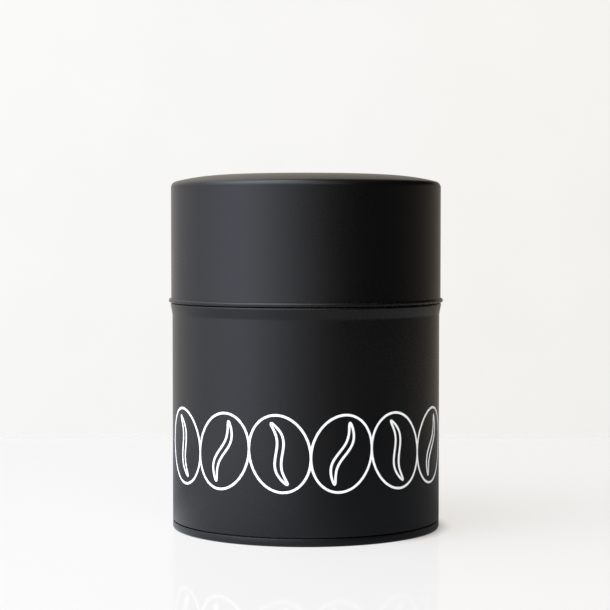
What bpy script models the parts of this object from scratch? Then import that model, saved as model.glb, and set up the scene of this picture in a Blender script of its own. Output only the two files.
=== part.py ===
"""A coffee tin: rolled tinplate body, neck sleeve, pressed base, slip-over lid and a plug lid inside.

Metres, +Z up. The origin is the middle of the ring that the tin stands on, and the front faces -Y.
"""

import math

import bmesh
import bpy

# Driving dimensions
HEIGHT = 0.1200  # floor to the crown of the lid
BODY_RADIUS = 0.0454  # outside of the body wall
LID_RADIUS = 0.0458  # outside of the lid wall
SHOULDER_Z = 0.0764  # top of the body's shoulder, where the lid's hem comes down
NECK_TOP_Z = 0.1100  # top edge of the neck sleeve
NECK_FOOT_Z = 0.0440  # lower edge of the neck sleeve, inside the body
SHEET = 0.0003  # tinplate thickness
GAP = 0.0002  # between pieces that touch on the real tin
SIDES = 48  # facets round the tin
KNOB_SIDES = 24  # facets round the knob and its rivet

# Base cap
BASE_WALL_TOP_Z = 0.0026
BASE_CORNER = 0.00075  # radius of the rounded lower edge
BASE_RING_WIDTH = 0.0013  # flat ring that stands on the table
BASE_PANEL_RISE = 0.0012  # height of the panel above the ring
SEAM_LINE = 0.0003  # open line between base cap and body

# Body shoulder and side seam
FLARE_OUT = 0.0007  # how far the shoulder stands out from the body
FLARE_DROP = 0.0034  # height of the cone that leads out to it
SHOULDER_ROUND = 0.0004
JOGGLE_PLAY = 0.00005  # added to the gap between the joggle and the base wall
LAP_WIDTH = 0.0042
LAP_PROUD = 0.00022
LAP_END_GAP = 0.0006  # the lap stops this far short of the seam line and of the flare

# Lid
LID_CORNER = 0.0021
DOME_RISE = 0.0026
DOME_POWER = 4.5  # flat in the middle, fuller towards the corner
HEM_GAP = 0.00035  # open line between hem and shoulder
HEM_HEIGHT = 0.0016
HEM_BEND = 0.0004  # centreline radius of the curled hem

# Inner lid, knob and rivet
FLANGE_LIFT = 0.0001  # added to the gap under the flange
FLANGE_BEND = 0.0004
PLUG_PLAY = 0.00015  # added to the gap between the plug and the neck
PLUG_DEPTH = 0.0067
PLUG_CORNER = 0.0012
PLATEAU_RADIUS = 0.0350
PLATEAU_RISE = 0.0006
PLATEAU_SLOPE = 0.0010  # width of the step up to the plateau
KNOB_HEIGHT = 0.0073
KNOB_RADIUS = 0.0078
KNOB_WAIST = 0.0038
KNOB_FOOT = 0.0050
KNOB_FOOT_HEIGHT = 0.0006
KNOB_GROOVE = 0.0020  # radius of the groove that fingertips go into
KNOB_BROW = 0.0014  # radius of the rim's rounding
KNOB_BORE_DEPTH = 0.0013  # counterbore for the rivet's head
RIVET_RADIUS = 0.00145
RIVET_PLAY = 0.0003
RIVET_HEAD = 0.0027
RIVET_HEAD_EDGE = 0.0002
RIVET_HEAD_RISE = 0.0006
RIVET_TAIL = 0.0024
RIVET_TAIL_HEIGHT = 0.0006
WASHER_RADIUS = 0.0040
WASHER_THICKNESS = 0.0005

# Levels and radii that follow from them
HALF = SHEET / 2
BODY_LINE = BODY_RADIUS - HALF  # a line is the middle of its sheet
JOGGLE_LINE = BODY_LINE - SHEET - GAP - JOGGLE_PLAY
NECK_LINE = BODY_RADIUS - SHEET - GAP - HALF
LID_LINE = LID_RADIUS - HALF
HEM_Z = SHOULDER_Z + HEM_GAP
FLANGE_LINE_Z = NECK_TOP_Z + GAP + HALF + FLANGE_LIFT
PLUG_LINE = NECK_LINE - SHEET - GAP - PLUG_PLAY
PANEL_LINE_Z = FLANGE_LINE_Z - PLUG_DEPTH
PLATEAU_LINE_Z = PANEL_LINE_Z + PLATEAU_RISE
RIVET_HOLE = RIVET_RADIUS + RIVET_PLAY
KNOB_Z = PLATEAU_LINE_Z + HALF + GAP
KNOB_TOP_Z = KNOB_Z + KNOB_HEIGHT
WASHER_TOP_Z = PLATEAU_LINE_Z - HALF - GAP
WASHER_Z = WASHER_TOP_Z - WASHER_THICKNESS


def clear_scene():
    for thing in list(bpy.data.objects):
        bpy.data.objects.remove(thing, do_unlink=True)


def finish(name, colour, roughness, metallic):
    """A Principled material."""
    material = bpy.data.materials.new(name)
    material.use_nodes = True
    shader = material.node_tree.nodes["Principled BSDF"]
    shader.inputs["Base Color"].default_value = (*colour, 1.0)
    shader.inputs["Roughness"].default_value = roughness
    shader.inputs["Metallic"].default_value = metallic
    return material


def arc(centre, radius, start, end, steps):
    """Points of an arc in the (r, z) half plane, between two angles in degrees."""
    points = []
    for i in range(steps + 1):
        angle = math.radians(start + (end - start) * i / steps)
        points.append((centre[0] + radius * math.cos(angle), centre[1] + radius * math.sin(angle)))
    return points


def step_up(outer, inner, low, high, steps):
    """A pressed step from (outer, low) in to (inner, high), as a smooth S."""
    points = []
    for i in range(steps + 1):
        share = i / steps
        height = (1 - math.cos(math.pi * share)) / 2
        points.append((outer + (inner - outer) * share, low + (high - low) * height))
    return points


def side_normal(here, there):
    """Unit normal to the left of the way from one (r, z) point to the next."""
    dr, dz = there[0] - here[0], there[1] - here[1]
    length = math.hypot(dr, dz)
    return -dz / length, dr / length


def pressed(line, thickness=SHEET):
    """Closed outline of a sheet that follows a centreline of (r, z) points."""
    left, right = [], []
    for i, (r, z) in enumerate(line):
        first = side_normal(line[max(i - 1, 0)], line[max(i, 1)])
        second = side_normal(line[min(i, len(line) - 2)], line[min(i + 1, len(line) - 1)])
        if r == 0.0:
            first = second = (0.0, math.copysign(1.0, first[1]))
        mitre = thickness / 2 / (1 + first[0] * second[0] + first[1] * second[1])
        across = ((first[0] + second[0]) * mitre, (first[1] + second[1]) * mitre)
        left.append((r + across[0], z + across[1]))
        right.append((r - across[0], z - across[1]))
    return left + right[::-1]


def turned(name, outline, material, seat=0.0, parent=None, sides=SIDES, turn=360.0, start=0.0):
    """A solid made by spinning a closed outline of (r, z) points about the Z axis.

    The object's origin is on the axis at the height of its seat.
    """
    mesh = bpy.data.meshes.new(name)
    bm = bmesh.new()
    angle = math.radians(start)
    corners = [bm.verts.new((r * math.cos(angle), r * math.sin(angle), z - seat)) for r, z in outline]
    whole = turn == 360.0
    if whole:
        profile = []
        for i, corner in enumerate(corners):
            if outline[i][0] > 0.0 or outline[i - 1][0] > 0.0:
                profile.append(bm.edges.new((corners[i - 1], corner)))
        profile += corners
    else:
        profile = [bm.faces.new(corners)]
    bmesh.ops.spin(bm, geom=profile, cent=(0, 0, 0), axis=(0, 0, 1), angle=math.radians(turn), steps=sides)
    bmesh.ops.remove_doubles(bm, verts=bm.verts, dist=1e-6)
    bmesh.ops.recalc_face_normals(bm, faces=bm.faces)
    bm.to_mesh(mesh)
    bm.free()
    mesh.shade_smooth()
    mesh.set_sharp_from_angle(angle=math.radians(35))
    mesh.materials.append(material)
    piece = bpy.data.objects.new(name, mesh)
    bpy.context.scene.collection.objects.link(piece)
    piece.parent = parent
    piece.location.z = seat - (parent.location.z if parent else 0.0)
    return piece


def body_outline():
    """Turned-in shoulder, cone, straight wall and the joggle that the base cap slips over."""
    top = SHOULDER_Z - HALF
    flare = BODY_LINE + FLARE_OUT
    joggle_z = BASE_WALL_TOP_Z + SEAM_LINE + HALF
    line = [(BODY_LINE, top)]
    line += arc((flare - SHOULDER_ROUND, top - SHOULDER_ROUND), SHOULDER_ROUND, 90, 0, 4)
    line += [
        (BODY_LINE, top - SHOULDER_ROUND - FLARE_DROP),
        (BODY_LINE, joggle_z + HALF),
        (JOGGLE_LINE, joggle_z - SHEET / 4),
        (JOGGLE_LINE, SHEET + GAP + HALF),
    ]
    return pressed(line)


def make_body(material):
    body = turned("body_shell", body_outline(), material)
    half_turn = math.degrees(LAP_WIDTH / 2 / BODY_RADIUS)
    low = BASE_WALL_TOP_Z + SEAM_LINE + SHEET + LAP_END_GAP
    high = SHOULDER_Z - SHOULDER_ROUND - FLARE_DROP - LAP_END_GAP
    outer = BODY_RADIUS + LAP_PROUD
    outline = [(BODY_LINE, low), (outer, low), (outer, high), (BODY_LINE, high)]
    lap = turned("side_lap", outline, material, sides=4, turn=2 * half_turn, start=90 - half_turn)
    lap.hide_render = True
    lap.display_type = "WIRE"
    union = body.modifiers.new("side seam", "BOOLEAN")
    union.operation = "UNION"
    union.solver = "EXACT"
    union.object = lap
    return body


def make_neck(material, parent):
    line = [
        (NECK_LINE, NECK_FOOT_Z),
        (NECK_LINE, NECK_TOP_Z - 4 * SHEET),
        (NECK_LINE - HALF, NECK_TOP_Z),
    ]
    return turned("neck_sleeve", pressed(line), material, seat=NECK_FOOT_Z, parent=parent)


def make_base(material, parent):
    ring_outer = BODY_RADIUS - BASE_CORNER
    ring_inner = ring_outer - BASE_RING_WIDTH
    line = [(BODY_LINE, BASE_WALL_TOP_Z)]
    line += arc((ring_outer, BASE_CORNER), BASE_CORNER - HALF, 0, -90, 4)
    line += step_up(ring_inner, ring_inner - BASE_PANEL_RISE, HALF, HALF + BASE_PANEL_RISE, 4)
    line += [(0.0, HALF + BASE_PANEL_RISE)]
    return turned("base_cap", pressed(line), material, parent=parent)


def lid_line():
    """Centreline of the lid: crown, corner, wall, and round to the end of its curled hem."""
    shoulder = LID_RADIUS - LID_CORNER
    tilt = math.degrees(math.atan(DOME_POWER * DOME_RISE / shoulder))
    bend = LID_CORNER - HALF
    crown_z = HEIGHT - HALF
    edge = shoulder + bend * math.sin(math.radians(tilt))
    corner_z = crown_z - DOME_RISE - bend * math.cos(math.radians(tilt))
    line = []
    for i in range(7):
        share = math.sqrt(i / 7)
        line.append((edge * share, crown_z - DOME_RISE * share**DOME_POWER))
    line += arc((shoulder, corner_z), bend, 90 - tilt, 0, 5)
    hem = LID_LINE + HEM_BEND
    line += arc((hem, HEM_Z + HALF + HEM_BEND), HEM_BEND, 180, 360, 6)
    line += arc((hem, HEM_Z + HEM_HEIGHT - HALF - HEM_BEND), HEM_BEND, 0, 100, 3)
    return line


def make_lid(material, parent):
    return turned("lid_shell", pressed(lid_line()), material, seat=HEM_Z, parent=parent)


def make_inner_lid(material, parent):
    line = [(NECK_LINE + HALF, FLANGE_LINE_Z)]
    line += arc((PLUG_LINE + FLANGE_BEND, FLANGE_LINE_Z - FLANGE_BEND), FLANGE_BEND, 90, 180, 3)
    line += arc((PLUG_LINE - PLUG_CORNER, PANEL_LINE_Z + PLUG_CORNER), PLUG_CORNER, 0, -90, 3)
    line += step_up(PLATEAU_RADIUS + PLATEAU_SLOPE, PLATEAU_RADIUS, PANEL_LINE_Z, PLATEAU_LINE_Z, 3)
    line += [(RIVET_HOLE, PLATEAU_LINE_Z)]
    return turned("inner_lid", pressed(line), material, seat=NECK_TOP_Z, parent=parent)


def make_knob(material, parent):
    """A mushroom knob with a bore for the rivet and a counterbore for its head."""
    bore = RIVET_HEAD + RIVET_PLAY
    bore_z = KNOB_TOP_Z - KNOB_BORE_DEPTH
    groove_z = KNOB_Z + 1.4 * KNOB_GROOVE
    outline = [(RIVET_HOLE, KNOB_Z), (KNOB_FOOT, KNOB_Z), (KNOB_FOOT, KNOB_Z + KNOB_FOOT_HEIGHT)]
    outline += arc((KNOB_WAIST + KNOB_GROOVE, groove_z), KNOB_GROOVE, 240, 130, 4)
    outline += arc((KNOB_RADIUS - KNOB_BROW, KNOB_TOP_Z - KNOB_BROW), KNOB_BROW, -20, 90, 5)
    outline += [(bore, KNOB_TOP_Z), (bore, bore_z), (RIVET_HOLE, bore_z)]
    return turned("inner_lid_knob", outline, material, seat=KNOB_Z, parent=parent, sides=KNOB_SIDES)


def make_rivet(material, parent):
    head_z = KNOB_TOP_Z - KNOB_BORE_DEPTH + GAP
    tail_top = WASHER_Z - GAP
    tail_z = tail_top - RIVET_TAIL_HEIGHT
    outline = [(0.0, tail_z), (RIVET_TAIL * 0.8, tail_z), (RIVET_TAIL, tail_z + RIVET_TAIL_HEIGHT * 0.6)]
    outline += [(RIVET_TAIL, tail_top), (RIVET_RADIUS, tail_top)]
    outline += [(RIVET_RADIUS, head_z), (RIVET_HEAD, head_z)]
    for i in range(3):
        angle = math.radians(30 * i)
        rise = RIVET_HEAD_EDGE + RIVET_HEAD_RISE * math.sin(angle)
        outline.append((RIVET_HEAD * math.cos(angle), head_z + rise))
    outline.append((0.0, head_z + RIVET_HEAD_EDGE + RIVET_HEAD_RISE))
    return turned("knob_rivet", outline, material, seat=KNOB_Z, parent=parent, sides=KNOB_SIDES)


def make_washer(material, parent):
    outline = [
        (RIVET_HOLE, WASHER_Z),
        (WASHER_RADIUS, WASHER_Z),
        (WASHER_RADIUS, WASHER_TOP_Z),
        (RIVET_HOLE, WASHER_TOP_Z),
    ]
    return turned("knob_washer", outline, material, seat=WASHER_Z, parent=parent, sides=KNOB_SIDES)


def main():
    clear_scene()
    enamel = (0.012, 0.012, 0.013)
    tinplate = (0.60, 0.60, 0.58)
    body = make_body(finish("body enamel", enamel, 0.50, 0.0))
    make_neck(finish("neck tinplate", tinplate, 0.32, 1.0), body)
    make_base(finish("base enamel", enamel, 0.50, 0.0), body)
    inner = make_inner_lid(finish("inner lid tinplate", tinplate, 0.32, 1.0), body)
    make_knob(finish("knob plastic", (0.02, 0.02, 0.02), 0.45, 0.0), inner)
    make_rivet(finish("rivet aluminium", (0.78, 0.78, 0.78), 0.35, 1.0), inner)
    make_washer(finish("washer aluminium", (0.70, 0.70, 0.70), 0.40, 1.0), inner)
    make_lid(finish("lid enamel", enamel, 0.50, 0.0), inner)


main()
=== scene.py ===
"""Looks of the coffee tin: matte black enamel, bare tinplate inside and a printed row of outlined beans."""

import math

import bmesh
import bpy
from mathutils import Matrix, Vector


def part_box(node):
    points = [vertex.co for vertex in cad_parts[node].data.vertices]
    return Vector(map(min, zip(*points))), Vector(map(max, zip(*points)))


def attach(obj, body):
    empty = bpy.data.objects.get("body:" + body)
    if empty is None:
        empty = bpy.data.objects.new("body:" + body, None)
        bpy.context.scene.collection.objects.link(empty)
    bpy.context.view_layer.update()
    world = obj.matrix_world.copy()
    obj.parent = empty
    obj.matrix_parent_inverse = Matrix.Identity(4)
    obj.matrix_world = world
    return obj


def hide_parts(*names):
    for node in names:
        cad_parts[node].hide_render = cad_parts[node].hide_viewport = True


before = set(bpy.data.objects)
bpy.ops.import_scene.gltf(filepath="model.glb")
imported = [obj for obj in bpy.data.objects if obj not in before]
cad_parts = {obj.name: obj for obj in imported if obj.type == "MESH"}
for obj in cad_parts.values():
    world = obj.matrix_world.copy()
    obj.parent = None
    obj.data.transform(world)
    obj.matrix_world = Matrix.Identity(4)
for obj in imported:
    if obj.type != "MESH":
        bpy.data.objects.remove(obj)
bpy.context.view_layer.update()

# ---------------------------------------------------------------- sizes, in metres, taken from the frame
MM = 0.001
body_low, body_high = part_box("body_shell")
base_low, base_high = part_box("base_cap")
neck_low, neck_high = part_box("neck_sleeve")
lid_low, lid_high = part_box("lid_shell")
plug_low, plug_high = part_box("inner_lid")
knob_low, knob_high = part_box("inner_lid_knob")
rivet_low, rivet_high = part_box("knob_rivet")
washer_low, washer_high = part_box("knob_washer")

SHEET = 0.3 * MM
HALF = SHEET / 2
BODY_RADIUS = base_high.x
BODY_LINE = BODY_RADIUS - HALF  # a line is the middle of its sheet
FLARE_LINE = body_high.x - HALF
HEM_LINE = lid_high.x - HALF
LID_LINE = HEM_LINE - 0.8 * MM
LID_RADIUS = LID_LINE + HALF
NECK_LINE = neck_high.x - HALF
SHOULDER_TOP = body_high.z + 0.14 * MM
SIDES = 256  # of the large turned pieces
CUT_EDGE = 0.35  # radius of a cut edge's corners, as a share of the sheet
CUT_STEPS = 3

# ---------------------------------------------------------------- profiles and turned meshes


def arc(centre, radius, start, end, steps):
    """Points of an arc in the (r, z) half plane, between two angles in degrees."""
    points = []
    for i in range(steps + 1):
        angle = math.radians(start + (end - start) * i / steps)
        points.append((centre[0] + radius * math.cos(angle), centre[1] + radius * math.sin(angle)))
    return points


def unit(here, there):
    length = math.hypot(there[0] - here[0], there[1] - here[1])
    return (there[0] - here[0]) / length, (there[1] - here[1]) / length


def bent(corners, step=8.0):
    """A path through (r, z, bend radius) corners, each corner rounded by an arc of that radius."""
    path = []
    for i, (r, z, radius) in enumerate(corners):
        if i in (0, len(corners) - 1) or radius == 0.0:
            path.append((r, z))
            continue
        back = unit((r, z), corners[i - 1])
        ahead = unit((r, z), corners[i + 1])
        half_turn = math.acos(max(-1.0, min(1.0, back[0] * ahead[0] + back[1] * ahead[1]))) / 2
        middle = (back[0] + ahead[0], back[1] + ahead[1])
        size = math.hypot(*middle)
        away = radius / math.sin(half_turn)
        centre = (r + middle[0] / size * away, z + middle[1] / size * away)
        reach = radius / math.tan(half_turn)
        first = (r + back[0] * reach - centre[0], z + back[1] * reach - centre[1])
        last = (r + ahead[0] * reach - centre[0], z + ahead[1] * reach - centre[1])
        start = math.degrees(math.atan2(first[1], first[0]))
        sweep = (math.degrees(math.atan2(last[1], last[0])) - start + 180) % 360 - 180
        path += arc(centre, radius, start, start + sweep, max(2, round(abs(sweep) / step)))
    return path


def pressed(line, thickness=SHEET):
    """Closed outline of a sheet along a centreline: its left side out, then its right side back.

    Ends that are off the axis are rounded as a cut edge is.
    """
    left, right = [], []
    for i, (r, z) in enumerate(line):
        before = unit(line[max(i - 1, 0)], line[max(i, 1)])
        after = unit(line[min(i, len(line) - 2)], line[min(i + 1, len(line) - 1)])
        if r == 0.0:
            before = after = (math.copysign(1.0, before[0]), 0.0)
        mitre = thickness / 2 / (1 + before[0] * after[0] + before[1] * after[1])
        across = (-(before[1] + after[1]) * mitre, (before[0] + after[0]) * mitre)
        left.append((r + across[0], z + across[1]))
        right.append((r - across[0], z - across[1]))
    if line[-1][0] > 0.0:
        left, right = round_end(left, right, line[-2], line[-1], thickness)
    if line[0][0] > 0.0:
        right, left = round_end(right[::-1], left[::-1], line[1], line[0], thickness)
        left, right = left[::-1], right[::-1]
    return left + right[::-1]


def round_end(left, right, before, end, thickness):
    """Both sides of a sheet with the corners of their last points cut to a small radius."""
    ahead = unit(before, end)
    across = (-ahead[1], ahead[0])
    radius = thickness * CUT_EDGE
    sides = []
    for side, sign in ((left, 1), (right, -1)):
        centre_out = sign * (thickness / 2 - radius)
        centre = (
            end[0] + across[0] * centre_out - ahead[0] * radius,
            end[1] + across[1] * centre_out - ahead[1] * radius,
        )
        rounded = []
        for i in range(CUT_STEPS + 1):
            angle = math.pi / 2 * i / CUT_STEPS
            out, on = sign * radius * math.cos(angle), radius * math.sin(angle)
            rounded.append(
                (centre[0] + across[0] * out + ahead[0] * on, centre[1] + across[1] * out + ahead[1] * on)
            )
        sides.append(side[:-1] + rounded)
    return sides


def even_turn(sides):
    return [2 * math.pi * k / sides for k in range(sides)]


def lathe(name, outline, materials, second=(), sides=SIDES, angles=None, push=None):
    """A closed outline of (r, z) points turned about the Z axis, evenly or by a list of angles.

    Faces between outline points whose numbers are in the range `second` take the second material.
    push(angle, r, z) may move a point outwards.
    """
    angles = angles or even_turn(sides)
    sides = len(angles)
    verts, rings = [], []
    for r, z in outline:
        if r < 1e-7:
            rings.append([len(verts)] * sides)
            verts.append((0.0, 0.0, z))
            continue
        rings.append(list(range(len(verts), len(verts) + sides)))
        for angle in angles:
            radius = r + (push(angle, r, z) if push else 0.0)
            verts.append((radius * math.cos(angle), radius * math.sin(angle), z))
    faces, slots = [], []
    for i in range(len(outline)):
        here, there = rings[i], rings[(i + 1) % len(rings)]
        if here[0] == here[1] and there[0] == there[1]:
            continue
        for k in range(sides):
            n = (k + 1) % sides
            corners = [here[k], there[k], there[n], here[n]]
            faces.append([v for j, v in enumerate(corners) if v != corners[j - 1]])
            slots.append(1 if i in second else 0)
    mesh = bpy.data.meshes.new(name)
    mesh.from_pydata(verts, [], faces)
    for material in materials:
        mesh.materials.append(material)
    mesh.polygons.foreach_set("material_index", slots)
    return finished(name, mesh)


def finished(name, mesh, sharp=50):
    """An object of the mesh, with its faces turned outwards and shaded smooth between sharp edges."""
    bm = bmesh.new()
    bm.from_mesh(mesh)
    bmesh.ops.recalc_face_normals(bm, faces=bm.faces)
    bm.to_mesh(mesh)
    bm.free()
    mesh.shade_smooth()
    mesh.set_sharp_from_angle(angle=math.radians(sharp))
    piece = bpy.data.objects.new(name, mesh)
    bpy.context.scene.collection.objects.link(piece)
    return piece


# ---------------------------------------------------------------- materials


class Nodes:
    """Shader nodes, made by short calls that each return an output socket."""

    def __init__(self, tree, place):
        self.tree = tree
        self.place = self.add("TexCoord", output=place)

    def add(self, kind, inputs=None, output=0, **settings):
        made = self.tree.nodes.new("ShaderNode" + kind)
        for key, value in settings.items():
            setattr(made, key, value)
        for key, value in (inputs or {}).items():
            self.feed(made.inputs[key], value)
        return made.outputs[output]

    def feed(self, socket, value):
        """Links a socket to the input, or sets the input to a value. A colour may leave out its alpha."""
        if isinstance(value, bpy.types.NodeSocket):
            self.tree.links.new(value, socket)
        elif socket.type == "RGBA":
            socket.default_value = (*value[:3], 1.0)
        else:
            socket.default_value = value

    def math(self, operation, a, b=0.0):
        return self.add("Math", {0: a, 1: b}, operation=operation)

    def ramp(self, value, low, high, to_low=0.0, to_high=1.0, smooth=True):
        """to_low at and below low, to_high at and above high. low may be the larger of the two."""
        inputs = {"Value": value, "From Min": low, "From Max": high, "To Min": to_low, "To Max": to_high}
        kind = "SMOOTHSTEP" if smooth else "LINEAR"
        return self.add("MapRange", inputs, interpolation_type=kind)

    def mix(self, share, low, high):
        return self.add("Mix", {0: share, 6: low, 7: high}, output=2, data_type="RGBA")

    def noise(self, scale, detail=2.0, place=None, distortion=0.0):
        inputs = {"Vector": place or self.place, "Scale": scale, "Detail": detail, "Distortion": distortion}
        return self.add("TexNoise", inputs, output="Fac")

    def parts(self, vector):
        """The X, Y and Z of a vector."""
        split = self.add("SeparateXYZ", {0: vector}).node
        return split.outputs["X"], split.outputs["Y"], split.outputs["Z"]

    def ray(self, kind):
        """1 for camera, diffuse or glossy rays, and 0 for others."""
        return self.add("LightPath", output=f"Is {kind} Ray")


class Recipe(Nodes):
    """A material's nodes."""

    def __init__(self, name):
        self.material = bpy.data.materials.new(name)
        self.material.use_nodes = True
        super().__init__(self.material.node_tree, "Object")
        self.shader = self.tree.nodes["Principled BSDF"]

    def stretched(self, x, y, z, shift=0.0):
        inputs = {"Vector": self.place, "Scale": (x, y, z), "Location": (shift, shift, shift)}
        return self.add("Mapping", inputs)

    def bump(self, height, depth, normal=None):
        inputs = {"Height": height, "Distance": depth, "Strength": 1.0}
        if normal:
            inputs["Normal"] = normal
        return self.add("Bump", inputs)

    def specks(self, scale, radius, keep):
        """1 on sparse round specks: one chance `keep` for each cell, of up to this radius in metres."""
        cell = self.add("TexVoronoi", {"Vector": self.place, "Scale": scale}).node
        chance = self.add("SeparateColor", {0: cell.outputs["Color"]})
        size = self.ramp(chance, 1 - keep, 1.0, 0.0, radius * scale, smooth=False)
        inside = self.math("SUBTRACT", size, cell.outputs["Distance"])
        return self.ramp(inside, 0.0, radius * scale * 0.4)

    def set(self, **values):
        names = {
            "colour": "Base Color", "roughness": "Roughness", "metallic": "Metallic",
            "normal": "Normal", "specular": "Specular IOR Level",
        }
        for key, value in values.items():
            self.feed(self.shader.inputs[names[key]], value)
        return self.material


def enamel(name, wear_low, wear_high):
    """Matte black baked enamel: fine powder grain, faint orange peel, a little dust and rubbed edges."""
    r = Recipe(name)
    grain = r.noise(5200, detail=2.0)
    peel = r.noise(420, detail=1.0)
    fleck = r.noise(1500, detail=3.0)
    cloud = r.noise(24, detail=3.0)
    dust = r.specks(130, 0.15 * MM, 0.35)
    _, _, height = r.parts(r.place)
    rub = r.math("MULTIPLY", r.ramp(height, wear_low, wear_high), r.ramp(r.noise(900, 4.0), 0.45, 0.75))
    colour = r.mix(cloud, (0.0018, 0.0018, 0.0019), (0.0026, 0.0026, 0.0027))
    colour = r.mix(r.math("MULTIPLY", rub, 0.08), colour, (0.05, 0.05, 0.05))
    colour = r.mix(r.math("MULTIPLY", dust, 0.7), colour, (0.22, 0.21, 0.20))
    roughness = r.ramp(cloud, 0.3, 0.7, 0.26, 0.29)
    roughness = r.math("ADD", roughness, r.math("MULTIPLY", grain, 0.04))
    roughness = r.math("ADD", roughness, r.ramp(fleck, 0.3, 0.7, -0.02, 0.02))
    roughness = r.math("SUBTRACT", roughness, r.math("MULTIPLY", rub, 0.05))
    bump = r.bump(grain, 0.0012 * MM, r.bump(fleck, 0.0016 * MM, r.bump(peel, 0.0020 * MM)))
    return r.set(colour=colour, roughness=roughness, normal=bump, specular=0.33)


def tinplate(name, along):
    """Bare rolled tinplate: bright, with long rolling lines, faint smudges and fine scratches."""
    r = Recipe(name)
    stretch = {"round": (14, 14, 2200), "across": (14, 2200, 14)}[along]
    lines = r.noise(1.0, 3.0, r.stretched(*stretch))
    smudge = r.noise(45, 2.0, distortion=0.6)
    scratch = r.ramp(r.noise(1.0, 2.0, r.stretched(*(s * 0.6 for s in stretch), shift=3.0)), 0.70, 0.74)
    colour = r.mix(smudge, (0.50, 0.50, 0.49), (0.66, 0.66, 0.64))
    colour = r.mix(r.math("MULTIPLY", scratch, 0.4), colour, (0.80, 0.80, 0.79))
    roughness = r.ramp(smudge, 0.3, 0.75, 0.24, 0.34)
    roughness = r.math("ADD", roughness, r.math("MULTIPLY", lines, 0.08))
    return r.set(colour=colour, roughness=roughness, metallic=1.0, normal=r.bump(lines, 0.0004 * MM))


def printing_ink(name):
    """Satin white screen ink, a touch uneven, with a few pinholes."""
    r = Recipe(name)
    body = r.noise(2600, 3.0)
    cloud = r.noise(160, 2.0)
    holes = r.specks(900, 0.05 * MM, 0.12)
    colour = r.mix(cloud, (0.80, 0.80, 0.79), (0.88, 0.88, 0.87))
    colour = r.mix(r.math("MULTIPLY", holes, 0.5), colour, (0.20, 0.20, 0.20))
    roughness = r.ramp(body, 0.3, 0.7, 0.42, 0.54)
    return r.set(colour=colour, roughness=roughness, normal=r.bump(body, 0.003 * MM))


def knob_plastic(name):
    r = Recipe(name)
    grain = r.noise(3800, 2.0)
    cloud = r.noise(180, 3.0)
    colour = r.mix(cloud, (0.012, 0.012, 0.013), (0.022, 0.022, 0.023))
    roughness = r.ramp(cloud, 0.3, 0.7, 0.34, 0.44)
    return r.set(colour=colour, roughness=roughness, normal=r.bump(grain, 0.004 * MM))


def aluminium(name):
    r = Recipe(name)
    turning = r.noise(1.0, 2.0, r.stretched(900, 900, 14000))
    cloud = r.noise(420, 3.0)
    colour = r.mix(cloud, (0.62, 0.62, 0.63), (0.78, 0.78, 0.79))
    roughness = r.ramp(cloud, 0.3, 0.7, 0.28, 0.40)
    return r.set(colour=colour, roughness=roughness, metallic=1.0, normal=r.bump(turning, 0.002 * MM))


# ---------------------------------------------------------------- the canister

LAP_HALF = 2.1 * MM  # half of the side seam's width
LAP_PROUD = 0.20 * MM
LAP_EDGE = 0.12 * MM


def side_lap(angle, r, z):
    """The lap of the side seam at +Y: the outer sheet stands proud by its own thickness, less the weld."""
    across = (angle - math.pi / 2) * BODY_RADIUS
    if abs(across) > LAP_HALF + LAP_EDGE or r < BODY_LINE or r > BODY_RADIUS + 0.02 * MM:
        return 0.0
    share = min(1.0, (LAP_HALF + LAP_EDGE - abs(across)) / (2 * LAP_EDGE))
    return LAP_PROUD * share * share * (3 - 2 * share)


def seam_turn():
    """Even angles, with their own close steps up and down the lap's two edges."""
    clear = (LAP_HALF + 4 * LAP_EDGE) / BODY_RADIUS
    angles = [angle for angle in even_turn(SIDES) if abs(angle - math.pi / 2) > clear]
    for across in (LAP_EDGE, LAP_EDGE / 2, 0.0, -LAP_EDGE / 2, -LAP_EDGE):
        offset = (LAP_HALF + across) / BODY_RADIUS
        angles += [math.pi / 2 - offset, math.pi / 2 + offset]
    return sorted(angles)


def make_body(coat, bare):
    top = SHOULDER_TOP - HALF
    cone_foot = top - 3.8 * MM
    joggle_z = base_high.z + 0.5 * MM
    joggle_line = BODY_LINE - 0.95 * MM
    line = bent([
        (BODY_LINE, top, 0.0),
        (FLARE_LINE, top, 0.55 * MM),
        (BODY_LINE, cone_foot, 4.0 * MM),
        (BODY_LINE, joggle_z, 0.18 * MM),
        (joggle_line, joggle_z - 0.2 * MM, 0.18 * MM),
        (joggle_line, body_low.z, 0.0),
    ])
    outline = pressed(line)
    inside = range(len(outline) // 2, len(outline))
    body = lathe("body_wall", outline, [coat, bare], second=inside, angles=seam_turn(), push=side_lap)
    return fit(body, "canister", "body_shell")


def fit(piece, body, node):
    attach(piece, body)
    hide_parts(node)
    return piece


def make_base(coat, bare):
    corner = 0.75 * MM
    ring_inner = BODY_RADIUS - corner - 1.3 * MM
    panel = HALF + 1.2 * MM
    line = bent([
        (BODY_LINE, base_high.z, 0.0),
        (BODY_LINE, HALF, corner - HALF),
        (ring_inner, HALF, 0.5 * MM),
        (ring_inner - 1.2 * MM, panel, 0.5 * MM),
        (30.0 * MM, panel, 1.0 * MM),
        (29.4 * MM, panel - 0.4 * MM, 1.0 * MM),
        (0.0, panel - 0.4 * MM, 0.0),
    ])
    outline = pressed(line)
    half = len(outline) // 2
    base = lathe("base_pan", outline, [coat, bare], second=range(half, len(outline)))
    return fit(base, "canister", "base_cap")


def make_neck(bare):
    line = bent([
        (NECK_LINE, neck_low.z, 0.0),
        (NECK_LINE, neck_high.z - 1.2 * MM, 2.0 * MM),
        (NECK_LINE - HALF, neck_high.z, 0.0),
    ])
    neck = lathe("neck_tube", pressed(line), [bare])
    return fit(neck, "canister", "neck_sleeve")


# ---------------------------------------------------------------- the lid


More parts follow.
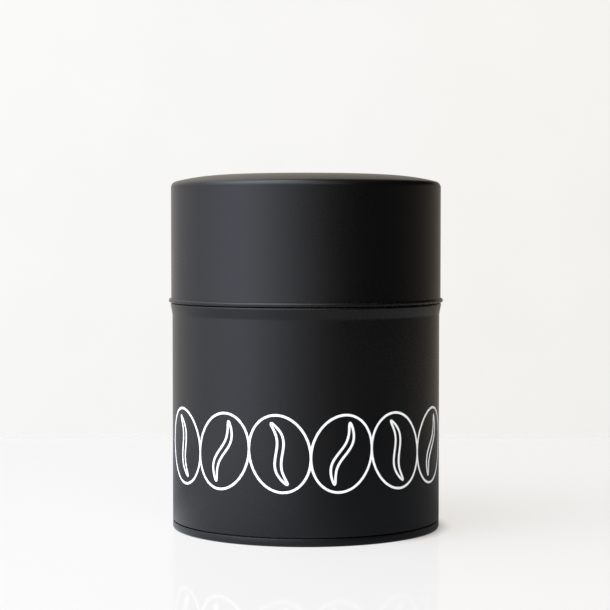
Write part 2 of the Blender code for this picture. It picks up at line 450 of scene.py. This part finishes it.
def make_lid(coat, bare):
    """Domed top, corner, wall and curled hem. The dome is flat in the middle and fuller at the corner."""
    corner, rise, power = 2.1 * MM, 2.6 * MM, 4.5
    rings = 28
    shoulder = LID_RADIUS - corner
    tilt = math.atan(power * rise / shoulder)
    bend = corner - HALF
    crown = lid_high.z - HALF
    edge = shoulder + bend * math.sin(tilt)
    corner_z = crown - rise - bend * math.cos(tilt)
    line = []
    for i in range(rings):
        share = math.sqrt(i / rings)
        line.append((edge * share, crown - rise * share**power))
    line += arc((shoulder, corner_z), bend, 90 - math.degrees(tilt), 0, 12)
    foot = SHOULDER_TOP + 0.02 * MM + HALF
    turn_in, under, over = 0.25 * MM, 0.48 * MM, 0.48 * MM  # bend radii of the curled hem
    curl = arc((LID_LINE + turn_in, foot + turn_in), turn_in, 180, 268, 6)
    curl += arc((HEM_LINE - under, foot + under), under, 272, 360, 8)
    curl += arc((HEM_LINE - over, lid_low.z + 1.22 * MM - HALF - over), over, 4, 115, 10)
    line += curl
    outline = pressed(line)
    inside = range(len(outline) - (len(line) - len(curl)), len(outline))
    lid = lathe("lid_cap", outline, [coat, bare], second=inside)
    return fit(lid, "outer_lid", "lid_shell")


# ---------------------------------------------------------------- the plug lid


def make_plug(bare):
    panel = plug_low.z + HALF
    plateau = panel + 0.6 * MM
    flange = plug_high.z - HALF
    wall = NECK_LINE - 0.65 * MM
    line = bent([
        (plug_high.x, flange, 0.0),
        (wall, flange, 0.4 * MM),
        (wall, panel, 1.2 * MM),
        (36.0 * MM, panel, 0.8 * MM),
        (35.0 * MM, plateau, 0.8 * MM),
        (1.75 * MM, plateau, 0.0),
    ])
    plug = lathe("plug_pan", pressed(line), [bare])
    return fit(plug, "plug_lid", "inner_lid")


def make_knob(plastic):
    bore, counterbore = 1.75 * MM, 3.0 * MM
    low, high = knob_low.z, knob_high.z
    brim = knob_high.x
    shape = bent([
        (bore, low, 0.0),
        (5.0 * MM, low, 0.25 * MM),
        (5.0 * MM, low + 0.7 * MM, 0.3 * MM),
        (3.7 * MM, low + 2.2 * MM, 1.4 * MM),
        (3.9 * MM, low + 4.2 * MM, 1.2 * MM),
        (brim, low + 5.1 * MM, 0.7 * MM),
        (brim, high - 0.5 * MM, 1.3 * MM),
        (5.6 * MM, high, 1.5 * MM),
        (counterbore, high - 0.15 * MM, 0.15 * MM),
        (counterbore, high - 1.3 * MM, 0.0),
        (bore, high - 1.3 * MM, 0.0),
    ])
    knob = lathe("knob_body", shape, [plastic], sides=96)
    return fit(knob, "plug_lid", "inner_lid_knob")


def make_rivet(metal):
    head_low = knob_high.z - 1.1 * MM
    head = 2.7 * MM
    shank = 1.45 * MM
    tail_top = washer_low.z - 0.2 * MM
    tail = 2.4 * MM
    outline = [(0.0, rivet_low.z)]
    outline += arc((tail - 0.4 * MM, tail_top - 0.2 * MM), 0.4 * MM, -90, 30, 6)
    outline += [(tail - 0.2 * MM, tail_top), (shank, tail_top), (shank, head_low)]
    outline += [(head - 0.1 * MM, head_low), (head, head_low + 0.1 * MM)]
    dome, steps = rivet_high.z - head_low - 0.2 * MM, 12
    for i in range(1, steps + 1):
        angle = math.pi / 2 * i / steps
        outline.append((head * math.cos(angle), head_low + 0.2 * MM + dome * math.sin(angle)))
    outline[-1] = (0.0, rivet_high.z)
    rivet = lathe("knob_rivet_set", outline, [metal], sides=64)
    return fit(rivet, "plug_lid", "knob_rivet")


def make_washer(metal):
    low, high, edge = washer_low.z, washer_high.z, 0.12 * MM
    inner, outer = 1.75 * MM, washer_high.x
    outline = bent([
        (inner + 0.2 * MM, low, 0.0),
        (outer, low, edge),
        (outer, high, edge),
        (inner, high, edge),
        (inner, low, edge),
        (inner + 0.2 * MM, low, 0.0),
    ])[:-1]
    washer = lathe("washer_ring", outline, [metal], sides=64)
    return fit(washer, "plug_lid", "knob_washer")


# ---------------------------------------------------------------- the printed beans

INK_WIDTH = 0.79 * MM
INK_PROUD = 0.03 * MM
INK_SUNK = 0.03 * MM
INK_EDGE = 0.04 * MM
BEAN_COUNT = 6
BEAN_TALL = 12.5 * MM  # half of a bean's length, to the middle of its line
BEAN_WIDE = 10.0 * MM
BEAN_TILT = math.radians(15)
BEAN_REACH = math.hypot(BEAN_WIDE * math.cos(BEAN_TILT), BEAN_TALL * math.sin(BEAN_TILT))
BEAN_PITCH = 2 * BEAN_REACH  # neighbours share a line where they touch
BEAN_Z = 29.8 * MM
ROW_SHIFT = 1.6 * MM  # the row's middle, along the wall from the front
BEAN_LIFT = 0.006 * MM  # every second bean, so that two lines never lie in one surface where they touch
CREASE_SWING = 1.5 * MM
CREASE_WIDE = 1.15 * MM
CREASE_SHORT = 2.4 * MM  # how much shorter the crease is than its bean, at either end
OVAL_POINTS, CREASE_POINTS = 160, 140


def line_loop(name, points, ink, lift=0.0):
    """A closed printed line of even width, laid round the wall along (s, z) points."""
    count = len(points)
    levels = [
        (-INK_WIDTH / 2, -INK_SUNK),
        (-INK_WIDTH / 2, INK_PROUD - INK_EDGE / 2),
        (-INK_WIDTH / 2 + INK_EDGE, INK_PROUD),
        (0.0, INK_PROUD),
        (INK_WIDTH / 2 - INK_EDGE, INK_PROUD),
        (INK_WIDTH / 2, INK_PROUD - INK_EDGE / 2),
        (INK_WIDTH / 2, -INK_SUNK),
    ]
    verts, faces = [], []
    for i, (s, z) in enumerate(points):
        before, after = points[i - 1], points[(i + 1) % count]
        ds, dz = unit(before, after)
        for side, height in levels:
            angle = (s - dz * side) / BODY_RADIUS - math.pi / 2
            radius = BODY_RADIUS + height + lift
            verts.append((radius * math.cos(angle), radius * math.sin(angle), z + ds * side))
    width = len(levels)
    for i in range(count):
        n = (i + 1) % count
        for j in range(width):
            m = (j + 1) % width
            faces.append([i * width + j, n * width + j, n * width + m, i * width + m])
    mesh = bpy.data.meshes.new(name)
    mesh.from_pydata(verts, [], faces)
    mesh.materials.append(ink)
    line = finished(name, mesh, sharp=60)
    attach(line, "canister")
    return line


def bean(number, ink):
    """One bean: an oval outline and, inside it, the outline of its S-shaped crease."""
    centre = ROW_SHIFT + (number - (BEAN_COUNT - 1) / 2) * BEAN_PITCH
    tilt = BEAN_TILT if number % 2 else -BEAN_TILT

    def laid(across, up):
        return (
            centre + across * math.cos(tilt) + up * math.sin(tilt),
            BEAN_Z - across * math.sin(tilt) + up * math.cos(tilt),
        )

    oval, crease = [], []
    for i in range(OVAL_POINTS):
        angle = 2 * math.pi * i / OVAL_POINTS
        oval.append(laid(BEAN_WIDE * math.cos(angle), BEAN_TALL * math.sin(angle)))
    for i in range(CREASE_POINTS):
        angle = 2 * math.pi * i / CREASE_POINTS
        up = math.sin(angle)
        swing = CREASE_SWING * math.sin(math.pi * up)
        crease.append(laid(swing + CREASE_WIDE * math.cos(angle), up * (BEAN_TALL - CREASE_SHORT)))
    lift = BEAN_LIFT * (number % 2)
    line_loop(f"print_bean_{number + 1}", oval, ink, lift)
    line_loop(f"print_crease_{number + 1}", crease, ink, lift)


# ---------------------------------------------------------------- the table

TABLE_NEAR, TABLE_FAR = -0.18, 0.272  # where the table top fades away, in Y
TABLE_SIDE = 0.19  # and on either side, in X
TABLE_FADE = 0.03
TABLE_GAP = 0.02 * MM  # keeps the table top out of the plane of the tin's standing ring
TABLE_GLOSS, TABLE_ROUGHNESS = 0.07, 0.05
GLOW_LEFT, GLOW_RIGHT = (0.758, 0.745, 0.735), (0.732, 0.716, 0.686)  # the table's added light, by side
GLOW_MIRRORED = (0.70, 0.745, 0.82)  # its colour where the tin's gloss mirrors it
MIRRORED_LEFT, MIRRORED_RIGHT = 1.3, 0.09  # how much of it the gloss mirrors, by side
MIRRORED_BEHIND = 0.25  # share of that behind the tin
GLOW_SCATTERED = 0.64  # how much of it lights rough surfaces
GLOW_NEAR, GLOW_FAR = 1.0, 0.94  # how much of it the camera sees, from near to far
SHADE_REACH, SHADE_DEPTH = 5 * MM, 0.9  # the contact shade beside the foot, on the right


def table_top():
    """Polished white, whose glow differs for the camera, for the tin's gloss and for rough surfaces."""
    r = Recipe("table_top")
    x, y, _ = r.parts(r.place)
    open_sky = r.add("AmbientOcclusion", {"Distance": SHADE_REACH}, output="AO")
    shade = r.math("MULTIPLY", r.math("SUBTRACT", 1.0, open_sky), r.ramp(x, 0.026, 0.042, 0.0, SHADE_DEPTH))
    seen = r.math("SUBTRACT", r.ramp(y, -0.14, 0.24, GLOW_NEAR, GLOW_FAR, smooth=False), shade)
    mirrored = r.math("MULTIPLY", r.ramp(x, -0.08, 0.05, MIRRORED_LEFT, MIRRORED_RIGHT),
                      r.ramp(y, -0.03, 0.05, 1.0, MIRRORED_BEHIND))
    strength = r.math("ADD", r.math("MULTIPLY", r.ray("Camera"), seen),
                      r.math("MULTIPLY", r.ray("Diffuse"), GLOW_SCATTERED))
    strength = r.math("ADD", strength, r.math("MULTIPLY", r.ray("Glossy"), mirrored))
    sides = r.mix(r.ramp(x, -0.12, 0.12), GLOW_LEFT, GLOW_RIGHT)
    glow = r.add("Emission", {"Color": r.mix(r.ray("Glossy"), sides, GLOW_MIRRORED), "Strength": strength})
    white = r.mix(r.noise(5.0), (0.198, 0.198, 0.198), (0.206, 0.206, 0.206))
    plain = r.add("AddShader", {0: r.add("BsdfDiffuse", {"Color": white}), 1: glow})
    gloss = r.add("BsdfGlossy", {"Color": (1.0, 1.0, 1.0), "Roughness": TABLE_ROUGHNESS})
    polished = r.add("MixShader", {0: TABLE_GLOSS, 1: plain, 2: gloss})
    solid = r.math("MULTIPLY", table_extent(r, x, y), from_above(r))
    shown = r.add("MixShader", {0: solid, 1: r.add("BsdfTransparent"), 2: polished})
    r.feed(r.tree.nodes["Material Output"].inputs["Surface"], shown)
    r.material.cycles.emission_sampling = "NONE"
    return r.material


def table_extent(r, x, y):
    """1 on the table and 0 past its soft edges, where the pale backdrop takes over."""
    across = r.math("MULTIPLY", r.ramp(x, -TABLE_SIDE - TABLE_FADE, -TABLE_SIDE + TABLE_FADE),
                    r.ramp(x, TABLE_SIDE + TABLE_FADE, TABLE_SIDE - TABLE_FADE))
    along = r.math("MULTIPLY", r.ramp(y, TABLE_NEAR - TABLE_FADE, TABLE_NEAR + TABLE_FADE),
                   r.ramp(y, TABLE_FAR + TABLE_FADE, TABLE_FAR - 1.2 * TABLE_FADE))
    return r.math("MULTIPLY", across, along)


def from_above(r):
    """0 on the underside of the table, which is left clear so that the tin's base can be seen."""
    return r.math("SUBTRACT", 1.0, r.add("NewGeometry", output="Backfacing"))


def make_table():
    near, far, side = TABLE_NEAR - 0.08, TABLE_FAR + 0.06, TABLE_SIDE + 0.08
    corners = [(-side, near), (side, near), (side, far), (-side, far)]
    mesh = bpy.data.meshes.new("table")
    mesh.from_pydata([(x, y, -TABLE_GAP) for x, y in corners], [], [(0, 1, 2, 3)])
    mesh.materials.append(table_top())
    table = bpy.data.objects.new("table", mesh)
    bpy.context.scene.collection.objects.link(table)


# ---------------------------------------------------------------- light

# Light by azimuth: 0 is behind the tin, 90 on its right, 180 toward the camera and 270 on its left.
WINDOW_LOW = [
    (0, 0.7), (30, 0.3), (110, 0.0), (155, 0.0), (180, 0.5),
    (230, 2.5), (250, 2.3), (280, 1.3), (315, 0.7), (360, 0.7),
]
WINDOW_HIGH = [
    (0, 0.45), (25, 0.0), (135, 0.0), (180, 2.0),
    (230, 4.1), (250, 3.8), (290, 1.1), (330, 1.0), (360, 0.45),
]
WINDOW_TOP = [(0, 0.3), (45, 0.0), (160, 0.0), (225, 3.2), (250, 3.2), (290, 1.1), (360, 0.3)]
COOL_SIDE = [(0, 0.28), (58, 0.0), (148, 0.5), (238, 1.0), (328, 0.5), (360, 0.28)]
COOL, WARM = (0.91, 1.0, 1.19), (1.17, 1.0, 0.76)

# Light by height above the horizon, in degrees.
LOW_BAND = [(-18, 0.0), (-6, 1.0), (6, 1.0), (20, 0.0)]
HIGH_BAND = [(6, 0.0), (20, 1.0), (50, 1.0), (78, 0.8), (90, 0.2)]
TOP_BAND = [(24, 0.0), (48, 1.0), (78, 0.7), (90, 0.0)]
CEILING = [(50, 0.0), (75, 0.2)]
GROUND = [(-40, 0.0), (-18, 0.75), (-6, 0.0)]
FILL = [(-12, 0.0), (-4, 1.9), (8, 1.9), (14, 0.0)]

# The wall's two side colours hold painted shade: the right, away from the window, is darker and warmer.
WALL_LEFT, WALL_RIGHT = (0.945, 0.945, 0.943), (0.900, 0.888, 0.858)
WALL_SPREAD = 0.17  # from the middle of the view to where the wall has its side's full colour, with its painted shade
WALL_BAND = [(-7, 0.976), (6, 1.013)]
PLASTER_SCALE, PLASTER_DEPTH = 26.0, 0.008


class Sky(Nodes):
    """Nodes of the world: soft light by direction."""

    def __init__(self):
        self.world = bpy.data.worlds.new("studio")
        bpy.context.scene.world = self.world
        self.world.use_nodes = True
        self.world.node_tree.nodes.clear()
        super().__init__(self.world.node_tree, "Generated")
        self.x, y, z = self.parts(self.place)
        self.height = self.math("MULTIPLY", self.math("ARCSINE", z), 180 / math.pi)
        turned = self.math("MULTIPLY", self.math("ARCTAN2", self.x, y), 1 / (2 * math.pi))
        self.azimuth = self.math("FRACT", self.math("ADD", turned, 1.0))

    def rise(self, levels):
        """A broken line over height: (degrees, level) stops."""
        value = levels[0][1]
        for (low, before), (high, after) in zip(levels, levels[1:]):
            step = self.ramp(self.height, low, high, 0.0, after - before, smooth=False)
            value = self.math("ADD", value, step)
        return value

    def turn(self, levels):
        """A broken line over azimuth: (degrees, level) stops."""
        top = max(level for _, level in levels)
        ramp = self.tree.nodes.new("ShaderNodeValToRGB")
        self.feed(ramp.inputs[0], self.azimuth)
        stops = ramp.color_ramp.elements
        while len(stops) < len(levels):
            stops.new(0.5)
        for stop, (degrees, level) in zip(stops, levels):
            stop.position = degrees / 360
            stop.color = (level / top, level / top, level / top, 1.0)
        return self.math("MULTIPLY", ramp.outputs["Color"], top)

    def patch(self, around, up):
        return self.math("MULTIPLY", self.turn(around), self.rise(up))

    def light(self, strength, colour=(1.0, 1.0, 1.0)):
        return self.add("Background", {"Color": colour, "Strength": strength})

    def both(self, first, second):
        return self.add("AddShader", {0: first, 1: second})


def make_world():
    """A pale room with one broad cool window, on the left and toward the camera."""
    sky = Sky()
    window = sky.math("ADD", sky.patch(WINDOW_LOW, LOW_BAND), sky.patch(WINDOW_HIGH, HIGH_BAND))
    lit = sky.light(window, sky.mix(sky.turn(COOL_SIDE), WARM, COOL))
    lit = sky.both(lit, sky.light(sky.rise(GROUND)))
    above = sky.math("ADD", sky.patch(WINDOW_TOP, TOP_BAND), sky.rise(CEILING))
    lit = sky.both(lit, sky.light(sky.math("MULTIPLY", above, sky.ray("Glossy"))))
    lit = sky.both(lit, sky.light(sky.math("MULTIPLY", sky.rise(FILL), sky.ray("Diffuse"))))
    shown = sky.add("MixShader", {0: sky.ray("Camera"), 1: lit, 2: backdrop(sky)})
    output = sky.tree.nodes.new("ShaderNodeOutputWorld")
    sky.feed(output.inputs["Surface"], shown)
    sky.world.cycles.sampling_method = "NONE"


def backdrop(sky):
    """The plastered wall that the camera sees, with painted shade: darker and warmer on the right, away
    from the window on the left, and a little darker low down.
    """
    # painted shade: the wall goes darker and warmer towards the right, away from the window
    lit_and_shaded_wall = sky.mix(sky.ramp(sky.x, -WALL_SPREAD, WALL_SPREAD, smooth=False), WALL_LEFT, WALL_RIGHT)
    plaster = sky.noise(PLASTER_SCALE, detail=4.0)
    uneven = sky.ramp(plaster, 0.3, 0.7, 1.0 - PLASTER_DEPTH, 1.0 + PLASTER_DEPTH, smooth=False)
    return sky.light(sky.math("MULTIPLY", uneven, sky.rise(WALL_BAND)), lit_and_shaded_wall)


# ---------------------------------------------------------------- camera

CAMERA_LENS = 110.66  # millimetres, on a 36 mm sensor
CAMERA_PLACE = (-0.0003, -0.6390, 0.1018)
CAMERA_DOWN = 2.36  # degrees below the horizon


def make_camera():
    data = bpy.data.cameras.new("camera")
    data.sensor_width = 36.0
    data.lens = CAMERA_LENS
    data.clip_start, data.clip_end = 0.01, 20.0
    camera = bpy.data.objects.new("camera", data)
    bpy.context.scene.collection.objects.link(camera)
    camera.location = CAMERA_PLACE
    camera.rotation_euler = (math.radians(90 - CAMERA_DOWN), 0.0, 0.0)
    bpy.context.scene.camera = camera


def main():
    coat_body = enamel("body_enamel", 74.5 * MM, 76.3 * MM)
    coat_base = enamel("base_enamel", 0.9 * MM, 0.2 * MM)
    coat_lid = enamel("lid_enamel", 78.4 * MM, 77.4 * MM)
    rolled = tinplate("rolled_tinplate", "round")
    sheet = tinplate("pressed_tinplate", "across")
    metal = aluminium("rivet_aluminium")
    make_body(coat_body, rolled)
    make_base(coat_base, sheet)
    make_neck(rolled)
    make_lid(coat_lid, sheet)
    make_plug(sheet)
    make_knob(knob_plastic("knob_plastic"))
    make_rivet(metal)
    make_washer(metal)
    ink = printing_ink("print_white")
    for number in range(BEAN_COUNT):
        bean(number, ink)
    make_table()
    make_world()
    make_camera()
    bpy.context.scene.view_settings.view_transform = "Standard"


main()
